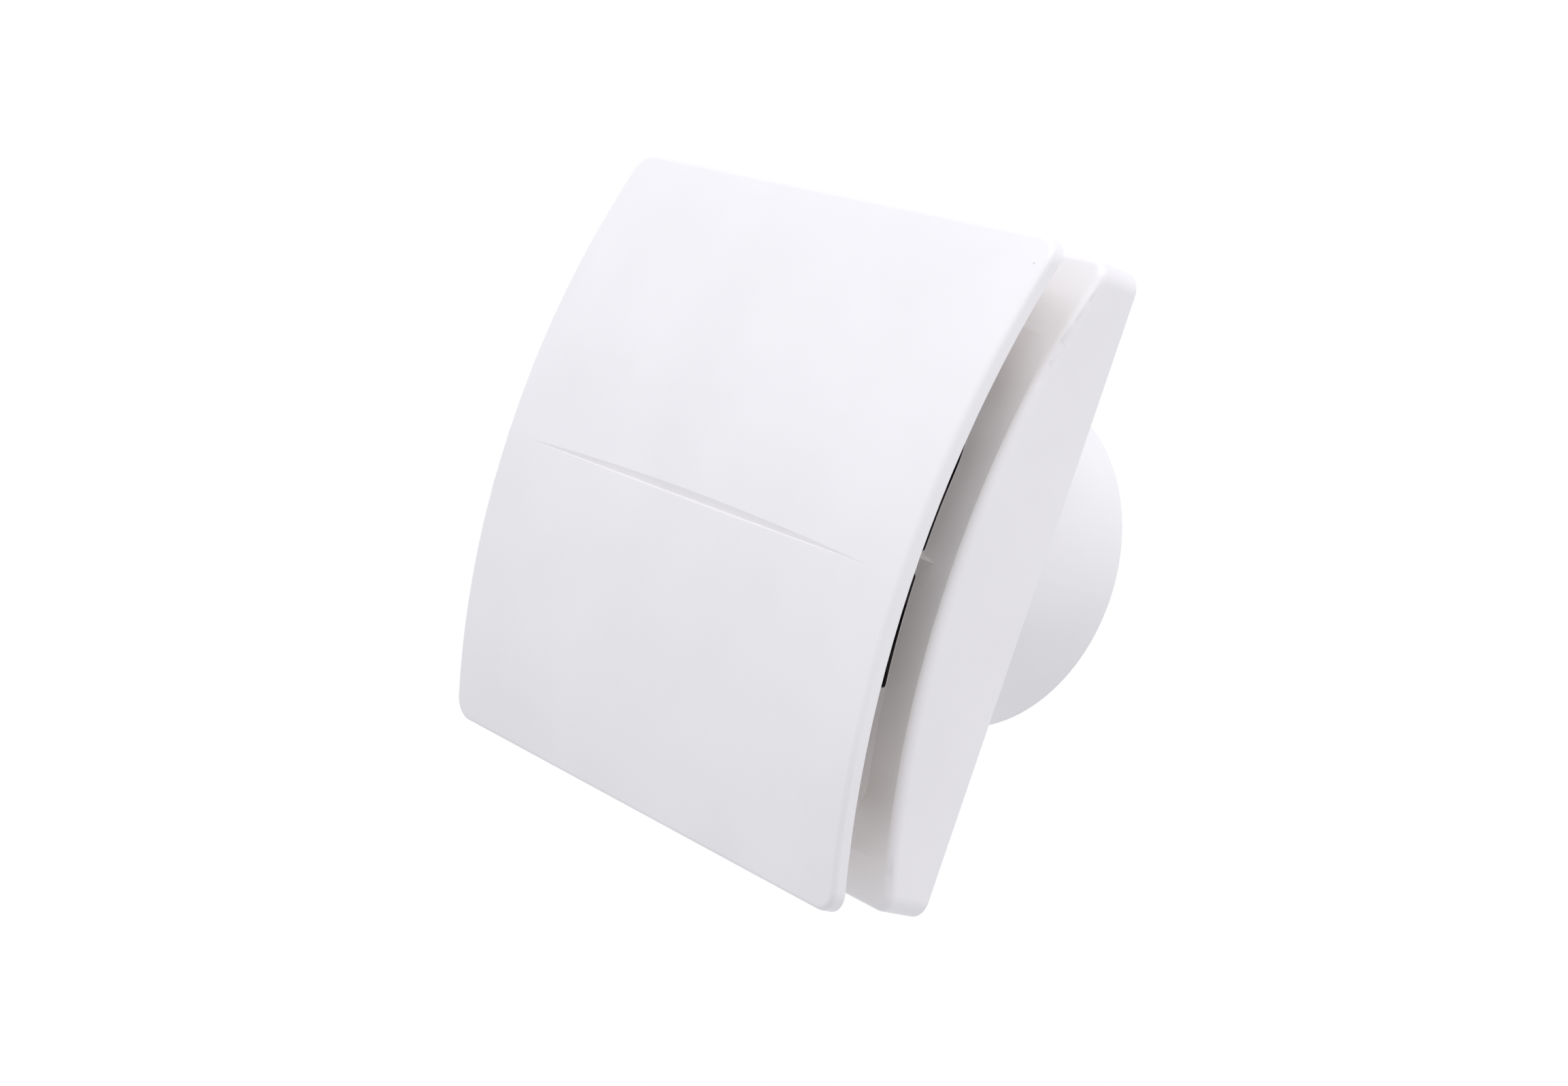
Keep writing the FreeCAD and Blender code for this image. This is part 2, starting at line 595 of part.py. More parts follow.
def make_impeller():
    hub = cylinder(HUB_RADIUS, HUB_FRONT, HUB_REAR)
    nose = [edge for edge in hub.Edges if edge.Closed and abs(edge.CenterOfMass.y - HUB_FRONT) < HUB_WALL]
    hub = hub.makeFillet(HUB_NOSE_FILLET, nose)
    floor_y = HUB_FRONT + NUT_POCKET_DEPTH + HUB_WALL
    hub = hub.cut(cylinder(HUB_RADIUS - HUB_WALL, floor_y, HUB_REAR + OVERRUN))
    hub = hub.fuse(cylinder(HUB_BOSS_RADIUS, floor_y - HUB_WALL / 2, HUB_REAR - HUB_WALL))
    hub = hub.cut(cylinder(NUT_POCKET_RADIUS, HUB_FRONT - OVERRUN, HUB_FRONT + NUT_POCKET_DEPTH))
    tip_radius = bore_radius - IMPELLER_TIP_GAP
    radii = (HUB_RADIUS - HUB_WALL, (HUB_RADIUS + tip_radius) / 2, bore_radius + OVERRUN)
    chords = (BLADE_ROOT_CHORD, (BLADE_ROOT_CHORD + BLADE_TIP_CHORD) / 2, BLADE_TIP_CHORD)
    pitches = (BLADE_ROOT_PITCH, (BLADE_ROOT_PITCH + BLADE_TIP_PITCH) / 2, BLADE_TIP_PITCH)
    blade = curved_blade(radii, chords, pitches, BLADE_CAMBER, BLADE_THICKNESS, BLADE_CENTRE)
    sweep = cylinder(tip_radius, HUB_FRONT, HUB_REAR + BLADE_ROOT_CHORD)
    sweep = sweep.cut(cylinder(HUB_RADIUS - HUB_WALL / 2, HUB_FRONT, HUB_REAR + BLADE_ROOT_CHORD))
    blade = blade.common(sweep)
    hub = hub.fuse(turned(blade, BLADE_COUNT))
    return hub.cut(cylinder(SHAFT_RADIUS, HUB_FRONT - OVERRUN, HUB_REAR)).removeSplitter()


def nut_seat_y():
    return HUB_FRONT + NUT_POCKET_DEPTH


def make_nut():
    nut = hexagon(NUT_ACROSS_FLATS, nut_seat_y() - NUT_HEIGHT, nut_seat_y())
    return nut.cut(cylinder(SHAFT_RADIUS, HUB_FRONT, HUB_REAR))


def make_shaft():
    return cylinder(SHAFT_RADIUS, nut_seat_y() - NUT_HEIGHT - WASHER_THICKNESS, SHAFT_END)


def make_rotor():
    core = cylinder(ROTOR_RADIUS, STACK_FRONT, stack_rear)
    core = core.fuse(cylinder(ROTOR_END_RING_RADIUS, STACK_FRONT - ROTOR_END_RING, stack_rear + ROTOR_END_RING))
    return core.cut(cylinder(SHAFT_RADIUS, CUP_FRONT, SHAFT_END + OVERRUN))


def make_washers():
    front = STACK_FRONT - ROTOR_END_RING
    rear = stack_rear + ROTOR_END_RING
    washers = cylinder(WASHER_RADIUS, front - WASHER_THICKNESS, front)
    washers = Part.makeCompound([washers, cylinder(WASHER_RADIUS, rear, rear + WASHER_THICKNESS)])
    return washers.cut(cylinder(SHAFT_RADIUS, CUP_FRONT, SHAFT_END + OVERRUN))


# Motor: stator ring with four wound poles between two bearing brackets

def make_stator():
    ring = cylinder(STATOR_RADIUS, STACK_FRONT, stack_rear)
    ring = ring.cut(cylinder(STATOR_RADIUS - STATOR_RING, STACK_FRONT - OVERRUN, stack_rear + OVERRUN))
    shoe_radius = pole_radius + POLE_SHOE_THICKNESS
    neck = block(-POLE_NECK_WIDTH / 2, POLE_NECK_WIDTH / 2, STACK_FRONT, stack_rear,
                 pole_radius, STATOR_RADIUS - STATOR_RING / 2)
    shoe = Part.makeCylinder(shoe_radius, STACK_LENGTH, vec(0, STACK_FRONT, 0), Y_AXIS, POLE_SHOE_ANGLE)
    shoe.rotate(ORIGIN, Y_AXIS, -POLE_SHOE_ANGLE / 2)
    pole = neck.fuse(shoe).cut(cylinder(pole_radius, STACK_FRONT - OVERRUN, stack_rear + OVERRUN))
    stator = ring.fuse(turned(pole, POLE_COUNT))
    for x, z in motor_screw_places():
        stator = stator.cut(cylinder(MOTOR_SCREW_RADIUS, STACK_FRONT - OVERRUN, stack_rear + OVERRUN, x, z))
    return stator.removeSplitter()


def pole_sleeve(grow, radius_low, radius_high):
    """Rectangular sleeve volume round one pole neck."""
    half_x = POLE_NECK_WIDTH / 2 + grow
    return block(-half_x, half_x, STACK_FRONT - grow, stack_rear + grow, radius_low, radius_high)


def winding_span():
    low = pole_radius + POLE_SHOE_THICKNESS + BOBBIN_WALL + BOBBIN_FIT
    return low, low + WINDING_LENGTH


def make_bobbins():
    low, high = winding_span()
    sleeve = pole_sleeve(BOBBIN_FIT + BOBBIN_WALL, low - BOBBIN_WALL, high)
    flange = pole_sleeve(BOBBIN_FLANGE, low - BOBBIN_WALL, low)
    bobbin = sleeve.fuse(flange).cut(pole_sleeve(BOBBIN_FIT, low - BOBBIN_WALL - OVERRUN, high + OVERRUN))
    return Part.makeCompound(turned(bobbin.removeSplitter(), POLE_COUNT))


def make_windings():
    low, high = winding_span()
    inner = BOBBIN_FIT + BOBBIN_WALL
    coil = pole_sleeve(WINDING_DEPTH, low, high)
    corners = [edge for edge in coil.Edges if abs(edge.tangentAt(edge.FirstParameter).z) > 0.5]
    coil = coil.makeFillet(WINDING_DEPTH / 2, corners)
    coil = coil.cut(pole_sleeve(inner, low - OVERRUN, high + OVERRUN))
    return Part.makeCompound(turned(coil, POLE_COUNT))


def make_bracket(plate_y, leg_low, leg_high, seat_low, seat_high):
    """Cross bar with a leg to the stack at each end and a bearing seat in the middle."""
    reach = MOTOR_SCREW_CIRCLE_RADIUS
    bar = block(-reach, reach, plate_y, plate_y + BRACKET_THICKNESS, -BRACKET_LEG_RADIUS, BRACKET_LEG_RADIUS)
    bar = bar.fuse(cylinder(BRACKET_WIDTH / 2 + BEARING_SEAT_WALL, plate_y, plate_y + BRACKET_THICKNESS))
    bar = bar.fuse(cylinder(bearing_seat_radius, seat_low, seat_high))
    for x, z in motor_screw_places():
        bar = bar.fuse(cylinder(BRACKET_LEG_RADIUS, leg_low, leg_high, x, z))
    for x, z in motor_screw_places():
        bar = bar.cut(cylinder(MOTOR_SCREW_RADIUS, CUP_FRONT, CUP_REAR, x, z))
    return bar.cut(cylinder(BEARING_RADIUS, CUP_FRONT, CUP_REAR)).removeSplitter()


def bearing_spans():
    front = STACK_FRONT - ROTOR_END_RING - WASHER_THICKNESS - BEARING_END_GAP
    rear = stack_rear + ROTOR_END_RING + WASHER_THICKNESS + BEARING_END_GAP
    return (front - BEARING_LENGTH, front), (rear, rear + BEARING_LENGTH)


def make_brackets():
    front, rear = bearing_spans()
    plate = front_bracket_y()
    rear_plate = stack_rear + BRACKET_STANDOFF
    front_bracket = make_bracket(plate, plate, STACK_FRONT, front[0], front[1])
    rear_bracket = make_bracket(rear_plate, stack_rear, rear_plate + BRACKET_THICKNESS, rear[0], rear[1])
    return front_bracket, rear_bracket


def make_bush(span):
    bush = cylinder(BEARING_RADIUS, span[0], span[1])
    return bush.cut(cylinder(SHAFT_RADIUS + SHAFT_FIT, CUP_FRONT, CUP_REAR))


def make_motor_screws():
    head_y = stack_rear + BRACKET_STANDOFF + BRACKET_THICKNESS
    tip_y = front_bracket_y() - MOTOR_SCREW_BITE
    screws = []
    for x, z in motor_screw_places():
        screw = pan_screw(MOTOR_SCREW_RADIUS, MOTOR_SCREW_HEAD_RADIUS, MOTOR_SCREW_HEAD_HEIGHT,
                          -head_y, -tip_y, x, -z)
        screw.rotate(ORIGIN, X_AXIS, 180)
        screws.append(screw)
    return Part.makeCompound(screws)


def make_motor_cover():
    cover = cylinder(CUP_RADIUS, CUP_REAR, CUP_REAR + COVER_THICKNESS)
    rim = [edge for edge in cover.Edges if edge.Closed and edge.CenterOfMass.y > CUP_REAR + COVER_THICKNESS / 2]
    cover = cover.makeChamfer(COVER_EDGE_CHAMFER, rim)
    plug_radius = cup_bore - COVER_FIT
    plug = cylinder(plug_radius, CUP_REAR - COVER_PLUG_DEPTH, CUP_REAR)
    plug = plug.cut(cylinder(plug_radius - COVER_PLUG_WALL, CUP_REAR - COVER_PLUG_DEPTH - OVERRUN, CUP_REAR))
    return cover.fuse(plug).removeSplitter()


# Terminal block, its cover, the cable clamp and the entry grommet

def terminal_span(grow):
    half_x = terminal_depth / 2 + grow
    half_z = terminal_length() / 2 + grow
    return (terminal_x - half_x, terminal_x + half_x,
            TERMINAL_CENTRE_Z - half_z, TERMINAL_CENTRE_Z + half_z)


def pole_heights():
    first = TERMINAL_CENTRE_Z - TERMINAL_PITCH * (TERMINAL_POLES - 1) / 2
    return [first + TERMINAL_PITCH * index for index in range(TERMINAL_POLES)]


def make_terminal_block():
    x_low, x_high, z_low, z_high = terminal_span(0)
    top_y = -PLATE_THICKNESS - TERMINAL_HEIGHT
    body = block(x_low, x_high, top_y, -PLATE_THICKNESS, z_low, z_high)
    wire_y = -PLATE_THICKNESS - TERMINAL_HEIGHT / 3
    for z in pole_heights():
        body = body.cut(Part.makeCylinder(TERMINAL_WIRE_RADIUS, terminal_depth + 2 * OVERRUN,
                                          vec(x_low - OVERRUN, wire_y, z), X_AXIS))
        body = body.cut(cylinder(TERMINAL_SCREW_RADIUS, top_y - OVERRUN, wire_y, terminal_x, z))
    return body.removeSplitter()


def make_terminal_screws():
    top_y = -PLATE_THICKNESS - TERMINAL_HEIGHT
    sunk_y = top_y + TERMINAL_SCREW_RADIUS / 2
    screws = []
    for z in pole_heights():
        screw = cylinder(TERMINAL_SCREW_RADIUS, sunk_y, sunk_y + TERMINAL_SCREW_LENGTH, terminal_x, z)
        slot_half = TERMINAL_SCREW_RADIUS / 5
        slot = block(terminal_x - TERMINAL_PITCH, terminal_x + TERMINAL_PITCH,
                     sunk_y - OVERRUN, sunk_y + TERMINAL_SCREW_RADIUS / 2, z - slot_half, z + slot_half)
        screws.append(screw.cut(slot))
    return Part.makeCompound(screws)


def make_terminal_cover():
    """Box over the terminal block, with a wire slot towards the throat and a screw tab above."""
    x_low, x_high, z_low, z_high = terminal_span(TERMINAL_COVER_GAP)
    inner_y = -PLATE_THICKNESS - TERMINAL_HEIGHT - TERMINAL_COVER_GAP
    wall = TERMINAL_COVER_WALL
    cover = block(x_low - wall, x_high + wall, inner_y - wall, -PLATE_THICKNESS, z_low - wall, z_high + wall)
    tab_half = COVER_TAB_LENGTH / 2
    tab_x, tab_z = cover_screw_place()
    cover = cover.fuse(block(tab_x - tab_half, tab_x + tab_half, -PLATE_THICKNESS - COVER_TAB_THICKNESS,
                             -PLATE_THICKNESS, z_high, z_high + wall + COVER_TAB_LENGTH))
    cover = cover.cut(block(x_low, x_high, inner_y, OVERRUN, z_low, z_high))
    wire_top = -PLATE_THICKNESS - TERMINAL_HEIGHT / 2
    cover = cover.cut(block(terminal_x - TERMINAL_PITCH / 2, terminal_x + TERMINAL_PITCH / 2,
                            wire_top, OVERRUN, z_low - wall - OVERRUN, TERMINAL_CENTRE_Z))
    cover = cover.cut(cylinder(SMALL_SCREW_RADIUS, -TRAY_DEPTH, OVERRUN, tab_x, tab_z))
    return cover.removeSplitter()


def make_cover_screw():
    x, z = cover_screw_place()
    return pan_screw(SMALL_SCREW_RADIUS, SMALL_SCREW_HEAD_RADIUS, SMALL_SCREW_HEAD_HEIGHT,
                     -PLATE_THICKNESS - COVER_TAB_THICKNESS, -SMALL_SCREW_TIP_GAP, x, z)


def make_cable_clamp():
    z = TERMINAL_CENTRE_Z - CLAMP_DROP
    seat_y = -PLATE_THICKNESS - CLAMP_POST_HEIGHT
    half = CLAMP_LENGTH / 2
    clamp = block(entry_x - half, entry_x + half, seat_y - CLAMP_THICKNESS, seat_y,
                  z - CLAMP_WIDTH / 2, z + CLAMP_WIDTH / 2)
    arch = Part.makeCylinder(CLAMP_CABLE_RADIUS, CLAMP_WIDTH + 2 * OVERRUN,
                             vec(entry_x, seat_y + CLAMP_CABLE_RADIUS - CLAMP_THICKNESS / 2,
                                 z - CLAMP_WIDTH / 2 - OVERRUN), vec(0, 0, 1))
    clamp = clamp.cut(arch)
    for x, screw_z in clamp_screw_places():
        clamp = clamp.cut(cylinder(SMALL_SCREW_RADIUS, -FRAME_DEPTH, OVERRUN, x, screw_z))
    return clamp.removeSplitter()


def make_clamp_screws():
    seat_y = -PLATE_THICKNESS - CLAMP_POST_HEIGHT - CLAMP_THICKNESS
    screws = []
    for x, z in clamp_screw_places():
        screws.append(pan_screw(SMALL_SCREW_RADIUS, SMALL_SCREW_HEAD_RADIUS, SMALL_SCREW_HEAD_HEIGHT,
                                seat_y, -SMALL_SCREW_TIP_GAP, x, z))
    return Part.makeCompound(screws)


def make_grommet():
    z = TERMINAL_CENTRE_Z - ENTRY_DROP
    neck = ENTRY_BORE_RADIUS + GROMMET_NECK_WALL
    flange = neck + GROMMET_FLANGE
    rear_y = -WALL_RECESS + GROMMET_FLANGE_THICKNESS
    front_y = -PLATE_THICKNESS
    body = cylinder(neck, front_y - GROMMET_FLANGE_THICKNESS, rear_y, entry_x, z)
    body = body.fuse(cylinder(flange, front_y - GROMMET_FLANGE_THICKNESS, front_y, entry_x, z))
    body = body.fuse(cylinder(flange, -WALL_RECESS, rear_y, entry_x, z))
    bore = cylinder(ENTRY_BORE_RADIUS, front_y - TRAY_DEPTH, OVERRUN, entry_x, z)
    return body.cut(bore).removeSplitter()


def make_all():
    front_bracket, rear_bracket = make_brackets()
    front_span, rear_span = bearing_spans()
    return {
        "front_panel": make_panel(),
        "front_frame": make_frame(),
        "frame_screws": make_frame_screws(),
        "wall_plate": make_wall_plate(),
        "duct_spigot": make_spigot(),
        "motor_carrier": make_motor_carrier(),
        "impeller": make_impeller(),
        "impeller_nut": make_nut(),
        "motor_shaft": make_shaft(),
        "motor_rotor": make_rotor(),
        "thrust_washers": make_washers(),
        "stator_core": make_stator(),
        "coil_bobbins": make_bobbins(),
        "coil_windings": make_windings(),
        "front_bearing_bracket": front_bracket,
        "rear_bearing_bracket": rear_bracket,
        "front_bush": make_bush(front_span),
        "rear_bush": make_bush(rear_span),
        "motor_screws": make_motor_screws(),
        "motor_cover": make_motor_cover(),
        "terminal_block": make_terminal_block(),
        "terminal_screws": make_terminal_screws(),
        "terminal_cover": make_terminal_cover(),
        "terminal_cover_screw": make_cover_screw(),
        "cable_clamp": make_cable_clamp(),
        "cable_clamp_screws": make_clamp_screws(),
        "cable_grommet": make_grommet(),
    }


os.makedirs("parts", exist_ok=True)
for name, shape in make_all().items():
    print(name, len(shape.Solids), shape.isValid(), round(shape.Volume, 1), shape.BoundBox)
    shape.exportStep("parts/" + name + ".step")
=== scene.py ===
"""Looks of the wall exhaust fan: camera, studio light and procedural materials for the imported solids."""
import json
import math

import bpy
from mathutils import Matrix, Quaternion, Vector


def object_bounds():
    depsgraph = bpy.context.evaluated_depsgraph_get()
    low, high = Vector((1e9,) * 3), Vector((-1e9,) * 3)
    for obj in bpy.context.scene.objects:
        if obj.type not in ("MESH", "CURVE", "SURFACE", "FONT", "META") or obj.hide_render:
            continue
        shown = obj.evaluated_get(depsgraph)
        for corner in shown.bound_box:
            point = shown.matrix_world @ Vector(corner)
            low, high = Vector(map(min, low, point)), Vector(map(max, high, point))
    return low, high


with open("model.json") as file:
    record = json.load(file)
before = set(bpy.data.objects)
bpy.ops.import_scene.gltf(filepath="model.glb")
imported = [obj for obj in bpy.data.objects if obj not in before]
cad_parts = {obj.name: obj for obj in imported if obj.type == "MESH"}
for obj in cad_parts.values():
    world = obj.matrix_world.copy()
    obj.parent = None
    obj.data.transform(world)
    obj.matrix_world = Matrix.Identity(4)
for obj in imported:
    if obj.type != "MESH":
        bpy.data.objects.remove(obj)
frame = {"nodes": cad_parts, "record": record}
cad_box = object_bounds()

# Camera, fitted to the photograph's edges, in metres
IMAGE_WIDTH_PX = 2305
FOCAL_PX = 3706.8
SENSOR_WIDTH_MM = 36.0
CAMERA_PLACE = Vector((0.5054, -0.4597, 0.0084))
CAMERA_AIM = Vector((-0.0038, -0.0050, -0.0133))
CAMERA_ROLL = math.radians(18.65)

# Stage, in metres. The fan belongs on a wall, so the floor lies well below it
FLOOR_RADIUS = 4.0
FLOOR_DROP = 1.0
FLOOR_VERTICES = 96
BACKDROP_RADIUS = 6.0
BACKDROP_SEGMENTS = 64
BACKDROP_RINGS = 32

# Studio light: an even sky with soft lobes in it, and lamps, all of one tint
LIGHT_TINT = (0.895, 0.916, 1.0)
SKY_EVEN = 0.49
# The direction that each lobe comes from, and its strength there
SKY_LOBES = [
    ((-1, 0, 0), 0.25),
    ((1, 0, 0), 0.16),
    ((0, 1, 0), 0.40),
    ((-0.60, -0.78, 0.18), 0.40),
    ((0.50, 0.62, -0.60), 0.14),
]
# Each lamp's name, its place and width in metres, and its power in watts
LAMPS = [
    ("key_light", (0.1, -0.9, 1.3), 0.9, 4.6),
    ("high_light", (0.5, -0.2, 1.2), 0.4, 3.6),
    ("edge_light", (0.75, -0.65, 0.75), 0.35, 1.6),
    ("side_light", (-1.20, -0.06, 0.10), 0.4, 2.0),
]

MM_PER_M = 1000.0

# The span that most of a noise field lies in
NOISE_LOW = 0.3
NOISE_HIGH = 0.7

# A wave texture repeats every pi / 10 of its scaled length
WAVE_LENGTH = math.pi / 10

# The shader's specular level on plain and on dull surfaces
SPECULAR_PLAIN = 0.5
SPECULAR_DULL = 0.3

# Dust specks: cells per metre, the draw from which a cell has one, its edge in cells, and its shade
SPECK_CELLS = 160.0
SPECK_DRAW = (0.965, 0.97)
SPECK_EDGE = (0.035, 0.055)
SPECK_SHADE = 0.72

# Painted shade on the room side of the wall plate and its collar: its radius, rear edge place and fade, in
# metres
PAINTED_SHADE_COLOUR = (0.045, 0.037, 0.034)
PAINTED_SHADE_RADIUS = 0.074
PAINTED_SHADE_REAR = -0.0020
PAINTED_SHADE_FADE = 0.0006


class Nodes:
    """A node tree that is filled by short calls."""

    def __init__(self, tree):
        self.tree = tree
        self.tree.nodes.clear()

    def add(self, kind, inputs=None, **settings):
        """A node with its settings; an input is a plain value or another node's output socket."""
        node = self.tree.nodes.new(kind)
        for name, value in settings.items():
            setattr(node, name, value)
        for name, value in (inputs or {}).items():
            if isinstance(value, bpy.types.NodeSocket):
                self.tree.links.new(value, node.inputs[name])
            else:
                node.inputs[name].default_value = value
        return node

    def calc(self, operation, first, second):
        """The result of an operation on two values."""
        return self.add("ShaderNodeMath", {0: first, 1: second}, operation=operation).outputs["Value"]

    def vector_calc(self, operation, *vectors):
        """The outputs of an operation on one or two vectors."""
        return self.add("ShaderNodeVectorMath", dict(enumerate(vectors)), operation=operation).outputs

    def place(self):
        """The piece's own coordinates, in metres."""
        return self.add("ShaderNodeTexCoord").outputs["Object"]

    def stretch(self, place, scale):
        """Coordinates scaled by a factor for each axis."""
        return self.add("ShaderNodeMapping", {"Vector": place, "Scale": scale}).outputs["Vector"]

    def noise(self, place, scale, detail=2.0):
        """A noise field with so many features per metre."""
        node = self.add("ShaderNodeTexNoise", {"Vector": place, "Scale": scale, "Detail": detail})
        return node.outputs["Fac"]

    def band(self, value, low, high, to_low, to_high):
        """A value mapped from one span to another, held at the ends."""
        node = self.add("ShaderNodeMapRange", {"Value": value, "From Min": low, "From Max": high,
                                               "To Min": to_low, "To Max": to_high})
        return node.outputs["Result"]

    def vary(self, field, middle, at_low, at_high):
        """A number that a noise field shifts by one amount where it is low and another where it is high."""
        return self.band(field, NOISE_LOW, NOISE_HIGH, middle + at_low, middle + at_high)

    def tones(self, field, colour, dark, light, low=NOISE_LOW, high=NOISE_HIGH):
        """A colour that goes from one share of itself to another while a field goes from low to high."""
        node = self.add("ShaderNodeValToRGB", {"Fac": field})
        first, last = node.color_ramp.elements
        first.position, first.color = low, shade(colour, dark)
        last.position, last.color = high, shade(colour, light)
        return node.outputs["Color"]

    def cover(self, factor, base, colour):
        """A plain colour laid over a base by a factor."""
        node = self.add("ShaderNodeMix", data_type="RGBA")
        sockets = {socket.name: socket for socket in node.inputs if socket.enabled}
        self.tree.links.new(factor, sockets["Factor"])
        self.tree.links.new(base, sockets["A"])
        sockets["B"].default_value = colour
        return next(socket for socket in node.outputs if socket.enabled)


def shade(colour, share):
    """A share of a colour, with full alpha."""
    return tuple(channel * share for channel in colour) + (1,)


def new_material(name):
    """A new material and its empty node tree."""
    material = bpy.data.materials.new(name)
    material.use_nodes = True
    return material, Nodes(material.node_tree)


def surface(name, metallic=0.0, specular=SPECULAR_PLAIN):
    """A new material with one shader; returns the material, its nodes and the shader."""
    material, nodes = new_material(name)
    shader = nodes.add("ShaderNodeBsdfPrincipled", {"Metallic": metallic, "Specular IOR Level": specular})
    nodes.add("ShaderNodeOutputMaterial", {"Surface": shader.outputs["BSDF"]})
    return material, nodes, shader


def join(nodes, shader, colour, roughness, height, depth):
    """Links colour, roughness and a bump of the given depth in metres to a shader."""
    bump = nodes.add("ShaderNodeBump", {"Height": height, "Distance": depth, "Strength": 1.0})
    nodes.tree.links.new(colour, shader.inputs["Base Color"])
    nodes.tree.links.new(roughness, shader.inputs["Roughness"])
    nodes.tree.links.new(bump.outputs["Normal"], shader.inputs["Normal"])


def speck_mask(nodes, place):
    """Dots in the middle of a few cells."""
    cells = nodes.add("ShaderNodeTexVoronoi", {"Vector": place, "Scale": SPECK_CELLS, "Randomness": 1.0})
    draw = nodes.add("ShaderNodeSeparateColor", {"Color": cells.outputs["Color"]}).outputs["Red"]
    rare = nodes.band(draw, *SPECK_DRAW, to_low=0.0, to_high=1.0)
    near = nodes.band(cells.outputs["Distance"], *SPECK_EDGE, to_low=1.0, to_high=0.0)
    return nodes.calc("MULTIPLY", rare, near)


def painted_shade_mask(nodes, place):
    """Where shade is painted: the room side of the wall plate and of its collar, round the duct axis."""
    depth = nodes.add("ShaderNodeSeparateXYZ", {"Vector": place}).outputs["Y"]
    across = nodes.vector_calc("MULTIPLY", place, (1, 0, 1))["Vector"]
    radius = nodes.vector_calc("LENGTH", across)["Value"]
    in_front = nodes.band(depth, PAINTED_SHADE_REAR - PAINTED_SHADE_FADE, PAINTED_SHADE_REAR, to_low=1.0, to_high=0.0)
    within = nodes.band(radius, PAINTED_SHADE_RADIUS - PAINTED_SHADE_FADE, PAINTED_SHADE_RADIUS, to_low=1.0, to_high=0.0)
    return nodes.calc("MULTIPLY", in_front, within)


def moulded_plastic(name, colour, rough, grain_mm=0.35, specular=SPECULAR_PLAIN, specks=False, painted_shade=False):
    """Moulded plastic with fine grain and slow flow shades, and dust specks or painted shade where asked."""
    material, nodes, shader = surface(name, specular=specular)
    place = nodes.place()
    flow = nodes.noise(place, scale=22.0, detail=3.0)
    tone = nodes.tones(flow, colour, dark=0.975, light=1.02)
    if specks:
        tone = nodes.cover(speck_mask(nodes, place), tone, shade(colour, SPECK_SHADE))
    if painted_shade:
        # Painted shade: the room side round the inlet is darkened to stand for the shadow inside the fan
        tone = nodes.cover(painted_shade_mask(nodes, place), tone, (*PAINTED_SHADE_COLOUR, 1))
    grain = nodes.noise(place, MM_PER_M / grain_mm)
    patches = nodes.noise(place, scale=60.0)
    join(nodes, shader, tone, nodes.vary(patches, rough, at_low=-0.03, at_high=0.04), grain, depth=2.5e-6)
    return material


def turned_metal(name, colour, rough, line_mm=0.12):
    """Turned or ground metal: fine rings round the duct axis and faint tarnish."""
    material, nodes, shader = surface(name, metallic=1.0)
    place = nodes.place()
    lines = nodes.noise(nodes.stretch(place, (0.04, 1.0, 0.04)), MM_PER_M / line_mm)
    tarnish = nodes.noise(place, scale=300.0, detail=3.0)
    tone = nodes.tones(tarnish, colour, dark=0.82, light=1.08)
    join(nodes, shader, tone, nodes.vary(lines, rough, at_low=-0.08, at_high=0.1), lines, depth=2.0e-6)
    return material


def cast_metal(name, colour, rough, pit_mm=0.5):
    """Cast or sintered metal: a pitted skin, rougher and darker in the pits."""
    material, nodes, shader = surface(name, metallic=1.0)
    pits = nodes.noise(nodes.place(), MM_PER_M / pit_mm, detail=4.0)
    tone = nodes.tones(pits, colour, dark=0.72, light=1.05, high=0.65)
    join(nodes, shader, tone, nodes.vary(pits, rough, at_low=0.12, at_high=-0.05), pits, depth=2.0e-5)
    return material


def striped_metal(name, colour, rough, period_mm, ringed, depth):
    """Stacked sheets along the axis, or turns of wire at equal distances from it."""
    material, nodes, shader = surface(name, metallic=1.0)
    place = nodes.place()
    settings = dict(wave_type="RINGS", rings_direction="Y") if ringed else dict(bands_direction="Y")
    scale = WAVE_LENGTH / (period_mm / MM_PER_M)
    wave = nodes.add("ShaderNodeTexWave", {"Vector": place, "Scale": scale, "Distortion": 0.0},
                     wave_profile="SIN", **settings)
    stripes = wave.outputs["Fac"]
    lines = nodes.tones(stripes, colour, dark=0.45, light=1.0, low=0.0, high=0.5)
    spots = nodes.noise(place, scale=500.0)
    stain = nodes.band(spots, low=0.35, high=0.65, to_low=0.0, to_high=0.35)
    tone = nodes.cover(stain, lines, shade(colour, 0.7))
    join(nodes, shader, tone, nodes.vary(spots, rough, at_low=-0.05, at_high=0.1), stripes, depth)
    return material


def fibre(name, colour, rough):
    """Pressed fibre with streaks."""
    material, nodes, shader = surface(name, specular=SPECULAR_DULL)
    streaks = nodes.noise(nodes.stretch(nodes.place(), (1.0, 5.0, 0.3)), scale=1800.0, detail=3.0)
    tone = nodes.tones(streaks, colour, dark=0.6, light=1.25)
    join(nodes, shader, tone, nodes.vary(streaks, rough, at_low=-0.1, at_high=0.1), streaks, depth=1.5e-5)
    return material


def rubber(name, colour, rough):
    """Matte rubber with a dusty bloom."""
    material, nodes, shader = surface(name, specular=SPECULAR_DULL)
    place = nodes.place()
    bloom = nodes.noise(place, scale=250.0, detail=4.0)
    tone = nodes.tones(bloom, colour, dark=1.0, light=1.9, low=0.35, high=0.75)
    grain = nodes.noise(place, scale=3000.0)
    join(nodes, shader, tone, nodes.vary(bloom, rough, at_low=-0.1, at_high=0.1), grain, depth=1.0e-5)
    return material


